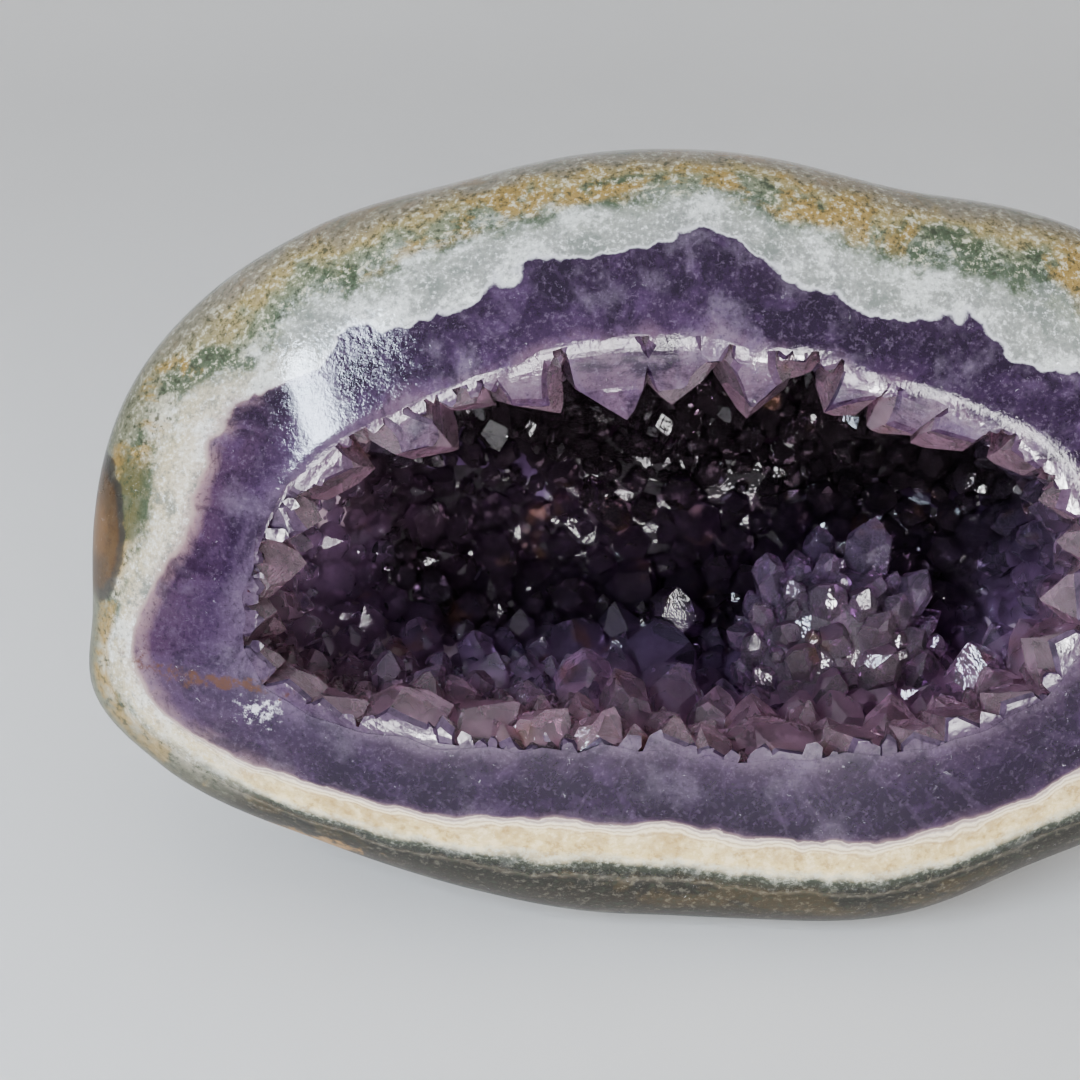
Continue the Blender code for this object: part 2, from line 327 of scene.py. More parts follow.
def low_share(angle):
    """0 for a direction from the middle of the face that points up, 1 for one down or to the left."""
    down = -np.sin(angle) + 0.35 * np.clip(-np.cos(angle), 0, 1) ** 4
    return np.clip((down + 0.12) / 0.5, 0, 1)


store(stone_mesh, "low", with_ends(low_share(angles) * np.ones_like(growth), 0.5, 0.5))
left = np.clip((-np.cos(angles) - 0.86) / 0.12, 0, 1) * np.ones_like(growth)
store(stone_mesh, "left", with_ends(left, 0, 0))

RING_RADIUS = 60 * MM


def ring_place(angle, outward):
    """A place that changes mostly round the hollow, for columns that run with the crystals."""
    return np.stack([RING_RADIUS * np.cos(angle), RING_RADIUS * np.sin(angle), outward], -1)


ring = ring_place(angles * np.ones_like(growth), growth * 4 * MM).reshape(-1, 3)
store(stone_mesh, "ring", np.concatenate([ring, [[0, 0, 0], [0, 0, 0]]]), "FLOAT_VECTOR")


def connect(tree, node, inputs):
    """Gives a node's sockets their values, or the wires that lead to them."""
    for key, value in inputs.items():
        if isinstance(value, Wire):
            tree.links.new(value.socket, node.inputs[key])
        else:
            node.inputs[key].default_value = value


class Wire:
    """One output of a shader node. Sums on it add the Math or Vector Math nodes that they need."""

    def __init__(self, tree, socket):
        self.tree = tree
        self.socket = socket

    @classmethod
    def node(cls, tree, kind, settings, inputs, output=0):
        """Adds a node: its settings first, then the values or wires of its sockets. Returns one output."""
        made = tree.nodes.new(kind)
        for name, value in settings.items():
            if name == "stops":
                elements = made.color_ramp.elements
                while len(elements) < len(value):
                    elements.new(1)
                for element, (position, colour) in zip(elements, value):
                    element.position = position
                    element.color = (*colour, 1)
            else:
                setattr(made, name, value)
        connect(tree, made, inputs)
        return cls(tree, made.outputs[output])

    def is_vector(self):
        return self.socket.type != "VALUE"

    def sum_of(self, operation, first, second):
        """The sum, difference or product of two wires, or of a wire and a number or three numbers."""
        vector = any(isinstance(x, tuple) or isinstance(x, Wire) and x.is_vector() for x in (first, second))
        kind = "ShaderNodeVectorMath" if vector else "ShaderNodeMath"
        if vector:
            first, second = [x if isinstance(x, (Wire, tuple)) else (x, x, x) for x in (first, second)]
        return Wire.node(self.tree, kind, {"operation": operation}, {0: first, 1: second})

    def __add__(self, other):
        return self.sum_of("ADD", self, other)

    def __radd__(self, other):
        return self.sum_of("ADD", other, self)

    def __sub__(self, other):
        return self.sum_of("SUBTRACT", self, other)

    def __rsub__(self, other):
        return self.sum_of("SUBTRACT", other, self)

    def __mul__(self, other):
        return self.sum_of("MULTIPLY", self, other)

    def __rmul__(self, other):
        return self.sum_of("MULTIPLY", other, self)

    def between(self, low, high):
        """0 below low, 1 above high, and a smooth step from one to the other."""
        return Wire.node(self.tree, "ShaderNodeMapRange", {"interpolation_type": "SMOOTHSTEP"},
                         {0: self, 1: low, 2: high, 3: 0.0, 4: 1.0})

    def ramp(self, *stops):
        """The colour at this value, through stops of a value and a colour."""
        return Wire.node(self.tree, "ShaderNodeValToRGB", {"stops": stops}, {0: self})

    def blend(self, first, second):
        """The first colour where this value is 0 and the second where it is 1."""
        first, second = [(*x, 1) if isinstance(x, tuple) else x for x in (first, second)]
        return Wire.node(self.tree, "ShaderNodeMix", {"data_type": "RGBA"},
                         {0: self, 6: first, 7: second}, 2)


def new_material(name):
    """A material with an empty shader, its tree and its Principled shader's node."""
    material = bpy.data.materials.new(name)
    material.use_nodes = True
    return material, material.node_tree, material.node_tree.nodes["Principled BSDF"]


def stored(tree, name, output=2):
    """The values that a mesh keeps under a name, or with output 1 its vectors."""
    return Wire.node(tree, "ShaderNodeAttribute", {"attribute_name": name}, {}, output)


def place_on(tree):
    """The place of each point in the object, in metres."""
    return Wire.node(tree, "ShaderNodeTexCoord", {}, {}, 3)


def cells(tree, place, scale):
    """Distance to the nearest of scattered middles, at a scale in cells per metre."""
    return Wire.node(tree, "ShaderNodeTexVoronoi", {}, {"Vector": place, "Scale": scale, "Randomness": 1.0})


def cloud(tree, place, scale, detail=3.0, roughness=0.55, warp=0.0):
    """Noise about 0.5, at a scale in features per metre."""
    return Wire.node(tree, "ShaderNodeTexNoise", {}, {
        "Vector": place, "Scale": scale, "Detail": detail, "Roughness": roughness, "Distortion": warp})


stone_look, tree, shader = new_material("polished_stone")
place = place_on(tree)
grown = stored(tree, "growth")
low_side = stored(tree, "low")
left_side = stored(tree, "left")
low_only = low_side * (1 - left_side)
around_place = stored(tree, "ring", 1)

wavy = cloud(tree, place, 70)
fine = cloud(tree, place, 330, 5.0, 0.65)
grain = cloud(tree, place, 1100, 3.0, 0.75)
column = cloud(tree, around_place, 300, 4.0, 0.6)
lobes, small_lobes = cells(tree, place, 115), cells(tree, place, 300)
lumps = (0.42 - lobes) * 0.17 + (0.40 - small_lobes) * 0.10 + (fine - 0.5) * 0.13
depth = grown + (wavy - 0.5) * 0.20 + lumps * (1 - low_side * 0.7)
third = depth * 0.3333

# The bands out from the rim, above, below and at the left. The first stop of each, paler violet right at the
# rim, is partly painted sheen along the rolled rim and partly the paler violet of the teeth's polished tops.
top_bands = third.ramp(
    (0.0, (0.090, 0.054, 0.085)), (0.05, (0.032, 0.015, 0.042)), (0.14, (0.021, 0.0085, 0.031)),
    (0.28, (0.015, 0.0055, 0.022)), (0.325, (0.022, 0.010, 0.030)), (0.334, (0.46, 0.46, 0.47)),
    (0.347, (0.20, 0.205, 0.195)), (0.43, (0.25, 0.26, 0.235)), (0.465, (0.19, 0.205, 0.165)),
    (0.50, (0.135, 0.155, 0.11)), (0.55, (0.15, 0.16, 0.10)), (0.575, (0.26, 0.205, 0.09)),
    (0.60, (0.20, 0.165, 0.10)), (0.63, (0.19, 0.165, 0.125)), (1.0, (0.135, 0.115, 0.085)),
)
low_bands = third.ramp(
    (0.0, (0.075, 0.05, 0.08)), (0.05, (0.026, 0.012, 0.031)), (0.16, (0.013, 0.0042, 0.020)),
    (0.29, (0.011, 0.0035, 0.016)), (0.314, (0.035, 0.018, 0.036)), (0.327, (0.17, 0.115, 0.13)),
    (0.338, (0.42, 0.36, 0.34)), (0.352, (0.62, 0.53, 0.38)), (0.370, (0.50, 0.38, 0.19)),
    (0.425, (0.58, 0.45, 0.22)), (0.443, (0.50, 0.46, 0.34)), (0.466, (0.038, 0.043, 0.030)),
    (0.495, (0.010, 0.009, 0.006)), (0.508, (0.06, 0.05, 0.036)), (0.518, (0.009, 0.0075, 0.005)),
    (0.58, (0.018, 0.0125, 0.0075)), (1.0, (0.040, 0.031, 0.020)),
)
colour = low_side.blend(top_bands, low_bands)
cream = third.ramp(
    (0.0, (0.08, 0.055, 0.09)), (0.10, (0.034, 0.017, 0.045)), (0.26, (0.05, 0.024, 0.052)),
    (0.32, (0.22, 0.145, 0.155)), (0.37, (0.45, 0.40, 0.32)), (0.44, (0.38, 0.33, 0.22)),
    (0.51, (0.40, 0.37, 0.29)), (0.58, (0.15, 0.15, 0.10)), (1.0, (0.11, 0.095, 0.07)),
)
colour = left_side.blend(colour, cream)

# Violet: blotches, columns that run with the crystals, and haze
in_violet = 1 - depth.between(0.94, 1.0)
blotch = cloud(tree, place, 150, 6.0, 0.62, 0.5)
blotches = blotch.between(0.47, 0.68) * in_violet
colour = (blotches * (0.75 - low_side * 0.3)).blend(colour, (0.060, 0.032, 0.078))
columns = column.between(0.53, 0.68) * in_violet
colour = (columns * (0.4 - low_side * 0.12)).blend(colour, (0.085, 0.055, 0.10))
dark_parts = cloud(tree, place, 90, 6.0, 0.65, 0.8).between(0.52, 0.38) * in_violet
colour = (dark_parts * (0.85 - low_side * 0.25)).blend(colour, (0.010, 0.0035, 0.016))
haze = cloud(tree, place, 120, 5.0, 0.6).between(0.52, 0.74) * in_violet
colour = (haze * (0.4 - low_side * 0.18)).blend(colour, (0.20, 0.165, 0.215))
pale_grains = grain.between(0.52, 0.70) * in_violet
colour = (pale_grains * (0.38 - low_side * 0.14)).blend(colour, (0.16, 0.12, 0.175))
colour = (grain.between(0.48, 0.30) * in_violet * 0.5).blend(colour, (0.008, 0.004, 0.012))

# Grey-white quartz: sugary grain and clearer, darker patches
in_quartz = depth.between(1.0, 1.03) * (1 - depth.between(1.4, 1.6)) * (1 - low_only * 0.85)
patchy = cloud(tree, place, 110, 6.0, 0.7)
colour = (patchy.between(0.49, 0.60) * in_quartz * 0.6).blend(colour, (0.55, 0.56, 0.54))
colour = (patchy.between(0.48, 0.36) * in_quartz * 0.75).blend(colour, (0.12, 0.135, 0.12))
colour = (grain.between(0.5, 0.72) * in_quartz * 0.65).blend(colour, (0.70, 0.71, 0.70))
colour = (grain.between(0.5, 0.3) * in_quartz * 0.65).blend(colour, (0.13, 0.14, 0.13))

# Thin layers along the lower bands, then crumbly tan and a frosty line
speck = cloud(tree, place, 760, 4.0, 0.75)
layer = Wire.node(tree, "ShaderNodeMath", {"operation": "SINE"}, {0: depth * 140 + fine * 6 + wavy * 9})
in_low = depth.between(0.95, 1.01) * (1 - depth.between(1.08, 1.14)) * low_only
colour = (layer.between(0.3, 0.9) * in_low * 0.6).blend(colour, (0.72, 0.62, 0.46))
colour = (layer.between(-0.3, -0.9) * in_low * 0.5).blend(colour, (0.24, 0.17, 0.12))
in_tan = depth.between(1.06, 1.12) * (1 - depth.between(1.30, 1.42)) * low_only
crumb = cloud(tree, place, 420, 5.0, 0.7)
colour = (crumb.between(0.50, 0.62) * in_tan * 0.7).blend(colour, (0.70, 0.60, 0.38))
colour = (crumb.between(0.48, 0.36) * in_tan * 0.7).blend(colour, (0.30, 0.20, 0.08))
tan = cloud(tree, place, 75, 6.0, 0.7).between(0.50, 0.60) * in_tan
colour = (tan * 0.45).blend(colour, (0.33, 0.22, 0.09))
frost = depth.between(1.26, 1.32) * (1 - depth.between(1.36, 1.46)) * low_only
colour = (frost * speck.between(0.48, 0.62) * 0.5).blend(colour, (0.50, 0.50, 0.42))

# Rind: ochre and green patches, only colour
in_rind = depth.between(1.30, 1.42) * (1 - depth.between(1.62, 1.74)) * (1 - low_only)
green = cloud(tree, place, 62, 6.0, 0.74, 0.2).between(0.47, 0.57) * in_rind
in_ochre = depth.between(1.40, 1.55) * (1 - depth.between(1.72, 1.86))
ochre = cloud(tree, place, 46, 6.0, 0.72, 0.4).between(0.50, 0.58) * in_ochre
colour = (green * 0.85).blend(colour, (0.035, 0.055, 0.028))
colour = (ochre * (0.9 - low_only * 0.8)).blend(colour, (0.25, 0.165, 0.05))
in_skin = depth.between(1.35, 1.5) * (1 - depth.between(1.75, 2.0) * 0.6)
colour = (speck.between(0.52, 0.64) * in_skin * (0.75 - low_side * 0.62)).blend(colour, (0.50, 0.48, 0.37))
colour = (speck.between(0.48, 0.36) * in_skin * 0.8).blend(colour, (0.03, 0.036, 0.022))

# Outside: weathered host rock in grey-green and rust, with pale filled bubbles and thin quartz veins
outside = depth.between(1.80, 2.05)
mottle = cloud(tree, place, 40, 6.0, 0.7, 0.6)
grey_green = low_side.blend((0.066, 0.080, 0.052), (0.020, 0.023, 0.017))
colour = (mottle.between(0.46, 0.58) * outside * 0.8).blend(colour, grey_green)
rust = cloud(tree, place, 27, 6.0, 0.72, 1.0).between(0.50, 0.62)
colour = (rust * outside * 0.75).blend(colour, low_side.blend((0.21, 0.115, 0.042), (0.075, 0.040, 0.018)))
bubbly = cloud(tree, place, 55).between(0.50, 0.62) * outside
filled = (cells(tree, place, 140) + (fine - 0.5) * 0.5).between(0.24, 0.15) * bubbly
colour = (filled * 0.75).blend(colour, (0.36, 0.36, 0.29))
vein = cloud(tree, place, 20, 5.0, 0.6, 0.7)
thin = vein.between(0.480, 0.496) * vein.between(0.516, 0.500) * outside
colour = (thin * 0.42).blend(colour, (0.34, 0.33, 0.28))

# Single marks: a brown agate eye at the left edge with a dark line round it, a rusty seam and small white
# crystals at the lower left of the hollow, and an orange-brown patch under the lower bands
def spot(middle, radii, ragged):
    """0 in the middle of an ellipsoid given in millimetres, 1 on it."""
    away = (place - tuple(m * MM for m in middle)) * tuple(1 / (r * MM) for r in radii)
    reached = Wire.node(tree, "ShaderNodeVectorMath", {"operation": "LENGTH"}, {0: away}, 1)
    return reached + (fine - 0.5) * ragged


eye = spot((-106, -28, 76), (8, 13, 14.5), 0.3)
colour = (spot((-97, -30, 83), (5, 9, 13), 1.6).between(1.0, 0.5) * 0.75).blend(colour, (0.045, 0.06, 0.035))
colour = (spot((-101, -28, 90), (4, 7, 5), 1.2).between(1.0, 0.5) * 0.8).blend(colour, (0.33, 0.20, 0.06))
colour = (eye.between(1.0, 0.80) * 0.85).blend(colour, (0.060, 0.030, 0.015))
colour = (eye.between(0.60, 0.30) * 0.75).blend(colour, (0.15, 0.080, 0.033))
right_side = Wire.node(tree, "ShaderNodeSeparateXYZ", {}, {0: place}).between(-0.1070, -0.1040)
dark_line = eye.between(1.05, 0.97) * eye.between(0.78, 0.88) * right_side
colour = (dark_line * 0.8).blend(colour, (0.03, 0.027, 0.026))
chip = spot((-75, -46, 50.5), (5, 7, 3.2), 3.4)
colour = (chip.between(1.0, 0.5) * speck.between(0.45, 0.58) * 0.8).blend(colour, (0.55, 0.54, 0.58))
seam = spot((-83, -44, 55), (15, 10, 1.5), 5.0)
colour = (seam.between(1.1, 0.4) * crumb.between(0.40, 0.56) * 0.85).blend(colour, (0.075, 0.030, 0.014))
patch = spot((-60, -42, 20.5), (24, 9, 4.5), 1.8)
colour = (patch.between(1.0, 0.7) * 0.8).blend(colour, (0.33, 0.19, 0.07))

# Painted glints: bright flecks where grains would catch the light
painted_glint_patches = cloud(tree, place, 110).between(0.48, 0.60)
painted_glint = cloud(tree, place, 560, 5.0, 0.8, 1.6).between(0.63, 0.70) * painted_glint_patches
colour = (painted_glint * (0.45 + in_quartz * 0.5)).blend(colour, (0.85, 0.86, 0.88))

# The hollow's wall: painted light, pale near the rim where light would come through the teeth, then painted
# shade, dark in its depth, and painted light that leaves its floor less dark
colour = grown.between(-0.005, -0.04).blend(colour, (0.72, 0.55, 0.62))
painted_wall_shade = (grown + low_side * 0.22).between(-0.12, -0.55)
colour = painted_wall_shade.blend(colour, low_side.blend((0.012, 0.006, 0.011), (0.13, 0.085, 0.17)))

relief = patchy + fine * 0.3 + grain * 0.15 + filled * 0.5
bump = Wire.node(tree, "ShaderNodeBump", {}, {"Strength": 0.25, "Distance": 0.4 * MM, "Height": relief})
roughness = 0.03 + fine * 0.07 + painted_glint * 0.15 + depth.between(1.35, 1.6) * low_side * 0.3
connect(tree, shader, {"Base Color": colour, "Roughness": roughness, "IOR": 1.54, "Normal": bump})
stone_mesh.materials.append(stone_look)
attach(stone, "root")
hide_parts("stone_shell")

# The crystals: amethyst points grown inwards from the hollow's wall, packed side by side and into one
# another, six-sided, with three larger and three smaller faces at the tip. The polish cuts through those
# at the rim. They are one see-through solid, violet by absorption and palest where it is thin.
TIP_SLOPE = math.radians(51.8)
WALL_SKIN = 2.2 * MM
POLISH_BELOW = 0.12 * MM
PLATE = 0.9 * MM
SEATS_TRIED = 14000
MOUND_CENTRE = Vector((32, -24, -14)) * MM
MOUND_RADII = Vector((18, 17, 13)) * MM
MOUND_LEAN = (0.0, 0.6, 0.2)
# Its four largest points: seat in mm, direction, then radius and shaft in mm
MOUND_PEAKS = [
    ((37, -11, -16), (0.05, 0.97, 0.2), 4.8, 9), ((20, -14, -14), (-0.25, 0.92, 0.2), 3.8, 7),
    ((44, -15, -12), (0.4, 0.85, 0.3), 3.6, 6), ((29, -9, -20), (-0.1, 0.95, 0.25), 3.4, 6),
]


def directions(count):
    """Directions spaced evenly all round, as seeds in a sunflower."""
    k = np.arange(count)
    z = 1 - (2 * k + 1) / count
    spread = np.sqrt(1 - z * z)
    a = k * math.pi * (3 - math.sqrt(5))
    return np.stack([spread * np.cos(a), spread * np.sin(a), z], -1)


def wall_point(direction, behind=0.0):
    """The hollow's wall along directions, in face coordinates."""
    angle = np.arctan2(direction[..., 1], direction[..., 0])
    z = direction[..., 2]
    front = z > 0
    power = np.where(front, HOLLOW_FRONT_POWER, HOLLOW_BACK_POWER)
    depth = np.where(front, HOLLOW_FRONT, HOLLOW_BACK + behind)
    w = np.sign(z) * depth * np.abs(z) ** (2 / power)
    points = np.stack(hollow_wall(angle, w, behind), -1)
    under = face_height(angle, np.minimum(np.hypot(points[..., 0], points[..., 1]), stone_radius(angle))) - w
    lump = swellings(points, WALL_LUMP_HEIGHT, WALL_LUMP_WIDTH) * np.clip(under / (12 * MM), 0, 1)
    return points - direction * lump[..., None]


def wall_normal(direction):
    """Into the hollow, from two nearby directions."""
    side = np.cross(direction, [0.3, 0.9, 0.31])
    side /= np.linalg.norm(side, axis=-1, keepdims=True)
    other = np.cross(direction, side)
    here = wall_point(direction)
    a = wall_point(direction + side * 0.03) - here
    b = wall_point(direction + other * 0.03) - here
    normal = np.cross(b, a)
    normal /= np.linalg.norm(normal, axis=-1, keepdims=True)
    flip = np.sign(np.sum(normal * direction, -1, keepdims=True))
    return -normal * flip


def spaced(points, gaps, order, taken):
    """Picks points in order, each at least its own gap from all picked before."""
    kept = []
    places = [p for p, _ in taken]
    sizes = [g for _, g in taken]
    for k in order:
        if places:
            away = np.linalg.norm(np.array(places) - points[k], axis=1)
            if np.any(away < (np.array(sizes) + gaps[k]) / 2):
                continue
        places.append(points[k])
        sizes.append(gaps[k])
        kept.append(k)
    return kept


def quartz_point(radius, shaft, root):
    """One quartz point along +Z: a six-sided shaft from its root, cut by six sloping tip faces."""
    bm = bmesh.new()
    length = root + shaft + radius * 1.9
    root_radius = radius * random.uniform(1.0, 1.12)
    bmesh.ops.create_cone(bm, cap_ends=True, segments=6, radius1=root_radius, radius2=radius * 0.97,
                          depth=length, matrix=Matrix.Translation((0, 0, length / 2 - root)))
    squeeze = random.uniform(0.82, 1.15)
    bmesh.ops.scale(bm, vec=(1, squeeze, 1), verts=bm.verts)
    top = shaft + radius * 0.866 * math.tan(TIP_SLOPE)
    for side in range(6):
        a = math.radians(30 + 60 * side)
        sideways, upward = math.sin(TIP_SLOPE), math.cos(TIP_SLOPE)
        tip_face = Vector((sideways * math.cos(a), sideways * math.sin(a), upward))
        shift = random.uniform(-0.28, 0.1) if side % 2 else random.uniform(0.0, 0.3)
        through = Vector((0, 0, top + shift * radius))
        cut = bmesh.ops.bisect_plane(bm, geom=bm.verts[:] + bm.edges[:] + bm.faces[:], dist=1e-7,
                                     plane_co=through, plane_no=tip_face, clear_outer=True)
        edges = [e for e in cut["geom_cut"] if isinstance(e, bmesh.types.BMEdge)]
        if len(edges) > 2:
            bmesh.ops.contextual_create(bm, geom=edges)
    bmesh.ops.recalc_face_normals(bm, faces=bm.faces)
    return bm


def frame_direction(n):
    """A direction in face coordinates to one in the frame's."""
    return Vector((n[0], 0, 0)) + UP_FACE * n[1] + OUT_OF_FACE * n[2]


def plant(group, bm, seat, inward, lean):
    """Puts a crystal on its seat, leaning at random from the wall's normal."""
    axis = (frame_direction(inward) + Vector(random.uniform(-lean, lean, 3))).normalized()
    spin = Matrix.Rotation(random.uniform(0, math.pi / 3), 4, "Z")
    foot = to_frame(*[np.array(x) for x in seat])
    turned = axis.to_track_quat("Z", "Y").to_matrix().to_4x4() @ spin
    bmesh.ops.transform(bm, verts=bm.verts, matrix=Matrix.Translation(foot) @ turned)
    mesh = bpy.data.meshes.new("point")
    bm.to_mesh(mesh)
    bm.free()
    group.objects.link(bpy.data.objects.new("point", mesh))


points = bpy.data.collections.new("points")
bpy.context.scene.collection.children.link(points)

# Seats all over the wall, save where the hollow opens and under the raised group
tries = directions(SEATS_TRIED)
tries = tries[tries[:, 2] < 0.85]
seats = wall_point(tries)
seat_angle = np.arctan2(seats[:, 1], seats[:, 0])
seat_r = np.hypot(seats[:, 0], seats[:, 1])
under = face_height(seat_angle, seat_r) - seats[:, 2]
keep = (under > -3.5 * MM) & (seat_r < stone_radius(seat_angle) - 3 * MM)
in_mound = np.sum(((seats - np.array(MOUND_CENTRE)) / np.array(MOUND_RADII)) ** 2, 1) < 1
keep &= ~in_mound
tries, seats, under = tries[keep], seats[keep], under[keep]
inwards = wall_normal(tries)

# Teeth along the rim, which point in over the hollow and a little out of the face, longest at its top
taken = []
for angle, width in zip(tooth_angles, tooth_widths):
    radius = 0.58 * width
    sunk = radius * random.uniform(0.62, 1.05)
    at = face_height(angle, rim_radius(angle)) - sunk
    seat = np.array([float(x) for x in hollow_wall(angle, at)])
    out = random.uniform(-0.12, 0.16)
    long = 1.0 + 0.12 * math.sin(angle) - 0.08 * abs(math.cos(angle)) + random.uniform(-0.12, 0.14)
    inward = np.array([-math.cos(angle), -math.sin(angle), out])
    inward /= np.linalg.norm(inward)
    shaft = max(long * width - radius * 1.1, 0.2 * MM)
    plant(points, quartz_point(radius, shaft, 3 * MM), seat, inward, 0.14)
    taken.append((seat, width * 0.8))

# The lining, with its largest points on the floor right of the middle, then small crystals in its gaps
# Each pass: where it goes, gap in mm, radius over gap, shaft over radius, and lean
right_floor = (under > 4 * MM) & (seats[:, 1] < -18 * MM) & (np.abs(seats[:, 0] - 25 * MM) < 45 * MM)
passes = [
    (right_floor, 8.4, 0.58, (0.3, 1.0), 0.36),
    ((under > 4 * MM) & (seats[:, 1] < 0), 5.4, 0.60, (0.25, 1.3), 0.42),
    (under > 4 * MM, 4.5, 0.60, (0.25, 1.3), 0.42),
    (under > 0, 2.9, 0.58, (0.5, 1.8), 0.5),
    (under > -3 * MM, 2.0, 0.58, (0.4, 1.7), 0.6),
]
for where, gap, fill, shafts, lean in passes:
    gaps = gap * MM * random.uniform(0.75, 1.55, len(seats))
    order = random.permutation(np.nonzero(where)[0])
    for k in spaced(seats, gaps, order, taken):
        radius = gaps[k] * fill * random.uniform(0.85, 1.1)
        shaft = radius * random.uniform(*shafts)
        root = max(2.0 * MM, radius * 0.8)
        taken.append((seats[k], gaps[k]))
        plant(points, quartz_point(radius, shaft, root), seats[k], inwards[k], lean)

# The raised group of larger crystals on the floor, right of the middle
mound_dirs = directions(900)
mound_seats = np.array(MOUND_CENTRE) + mound_dirs * np.array(MOUND_RADII)
mound_angle = np.arctan2(mound_seats[:, 1], mound_seats[:, 0])
free = np.hypot(mound_seats[:, 0], mound_seats[:, 1]) < hollow_radius(mound_angle) - 2 * MM
mound_dirs, mound_seats = mound_dirs[free], mound_seats[free]
mound_taken = []
for seat, upright, radius, shaft in MOUND_PEAKS:
    seat = np.array(seat) * MM
    plant(points, quartz_point(radius * MM, shaft * MM, 6 * MM), seat, np.array(upright), 0.05)
    mound_taken.append((seat, 2 * radius * MM))
for gap, fill in ((5.4 * MM, 0.60), (2.9 * MM, 0.58)):
    gaps = gap * random.uniform(0.8, 1.35, len(mound_seats))
    for k in spaced(mound_seats, gaps, random.permutation(len(mound_seats)), mound_taken):
        radius = gaps[k] * fill
        mound_taken.append((mound_seats[k], gaps[k]))
        upright = mound_dirs[k] * 0.45 + np.array(MOUND_LEAN)
        upright /= np.linalg.norm(upright)
        crystal = quartz_point(radius, radius * random.uniform(0.2, 1.2), 4 * MM)
        plant(points, crystal, mound_seats[k], upright, 0.45)
bm = bmesh.new()
bmesh.ops.create_icosphere(bm, subdivisions=3, radius=1)
for vertex in bm.verts:
    at = np.array(MOUND_CENTRE) + np.array(vertex.co) * np.array(MOUND_RADII)
    vertex.co = to_frame(*[np.array(x) for x in at])
mesh = bpy.data.meshes.new("mound")
bm.to_mesh(mesh)
bm.free()
points.objects.link(bpy.data.objects.new("mound", mesh))


def wall_sphere(name, behind, around=96, rows=48):
    """A closed form on the hollow's wall, moved back into the stone."""
    bm = bmesh.new()
    bmesh.ops.create_uvsphere(bm, u_segments=around, v_segments=rows, radius=1)
    place = wall_point(np.array([v.co.normalized() for v in bm.verts]), behind)
    place = to_frame(place[:, 0], place[:, 1], place[:, 2])
    for vertex, co in zip(bm.verts, place):
        vertex.co = co
    bmesh.ops.recalc_face_normals(bm, faces=bm.faces)
    mesh = bpy.data.meshes.new(name)
    bm.to_mesh(mesh)
    bm.free()
    return put_in_scene(name, mesh)


def cut(obj, operation, other):
    """Works one Boolean into an object's mesh."""
    modifier = obj.modifiers.new(operation.lower(), "BOOLEAN")
    modifier.operation = operation
    modifier.solver = "MANIFOLD"
    if isinstance(other, bpy.types.Collection):
        modifier.operand_type = "COLLECTION"
        modifier.collection = other
    else:
        modifier.object = other
    graph = bpy.context.evaluated_depsgraph_get()
    mesh = bpy.data.meshes.new_from_object(obj.evaluated_get(graph))
    obj.modifiers.clear()
    obj.data = mesh


def drop_pockets(obj, largest):
    """Takes out the closed pockets between crystals, up to a number of points, that Booleans leave."""
    bm = bmesh.new()
    bm.from_mesh(obj.data)
    seen, pockets = set(), []
    for start in bm.verts:
        if start in seen:
            continue
        seen.add(start)
        island = [start]
        for vertex in island:
            for edge in vertex.link_edges:
                other = edge.other_vert(vertex)
                if other not in seen:
                    seen.add(other)
                    island.append(other)
        if len(island) <= largest:
            pockets += island
    bmesh.ops.delete(bm, geom=pockets, context="VERTS")
    bm.to_mesh(obj.data)
    bm.free()


def under_polish(below, around=240, rows=90):
    """A closed form that fills all that lies under the polished face, less a layer."""
    angles = np.linspace(0, 2 * math.pi, around, endpoint=False)[None, :]
    r = np.linspace(0.02, 1, rows)[:, None] * (stone_radius(angles) - 6 * MM)
    top = np.stack(swell(r * np.cos(angles), r * np.sin(angles), face_height(angles, r) - below), -1)
    deep_row = top[-1:].copy()
    deep_row[..., 2] = -70 * MM
    top = np.concatenate([top, deep_row])
    mesh = mesh_of_rows("under_polish", to_frame(top[..., 0], top[..., 1], top[..., 2]))
    return put_in_scene("under_polish", mesh)


def face_places(mesh):
    """The points of a mesh in face coordinates."""
    co = np.zeros(len(mesh.vertices) * 3)
    mesh.vertices.foreach_get("co", co)
    co = co.reshape(-1, 3) - np.array(FACE_CENTRE)
    return co[:, 0], co @ np.array(UP_FACE), co @ np.array(OUT_OF_FACE)


# The polish leaves a layer of massive amethyst on the teeth, and their clear part under it
air = wall_sphere("air", 0)
cut(air, "DIFFERENCE", points)
crystals = wall_sphere("amethyst_points", WALL_SKIN)
cut(crystals, "DIFFERENCE", air)
tops = crystals.copy()
bpy.context.scene.collection.objects.link(tops)
tops.name = "cut_teeth"
upper, lower = under_polish(POLISH_BELOW), under_polish(PLATE)
cut(tops, "INTERSECT", upper)
cut(tops, "DIFFERENCE", lower)
cut(crystals, "INTERSECT", lower)
drop_pockets(crystals, 60)
drop_pockets(tops, 10)
for obj in [air, upper, lower, *points.objects]:
    bpy.data.objects.remove(obj)
bpy.data.collections.remove(points)

tops_u, tops_v, _ = face_places(tops.data)
tops_angle = np.arctan2(tops_v, tops_u)
tops_r = np.hypot(tops_u, tops_v)
store(tops.data, "growth", np.clip((tops_r - edge_radius(tops_angle)) / (14 * MM), 0, 0.9))
store(tops.data, "low", low_share(tops_angle))
store(tops.data, "left", np.zeros(len(tops_r)))
store(tops.data, "ring", ring_place(tops_angle, tops_r * 0.3), "FLOAT_VECTOR")
tops.data.materials.clear()
tops.data.materials.append(stone_look)
shade(tops.data, False)
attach(tops, "root")
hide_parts("crystal_crust")

crystal_mesh = crystals.data
shade(crystal_mesh, False)
_, face_v, face_w = face_places(crystal_mesh)
store(crystal_mesh, "front", np.clip((face_w + 35 * MM) / (50 * MM), 0, 1))
store(crystal_mesh, "height", face_v / (40 * MM))

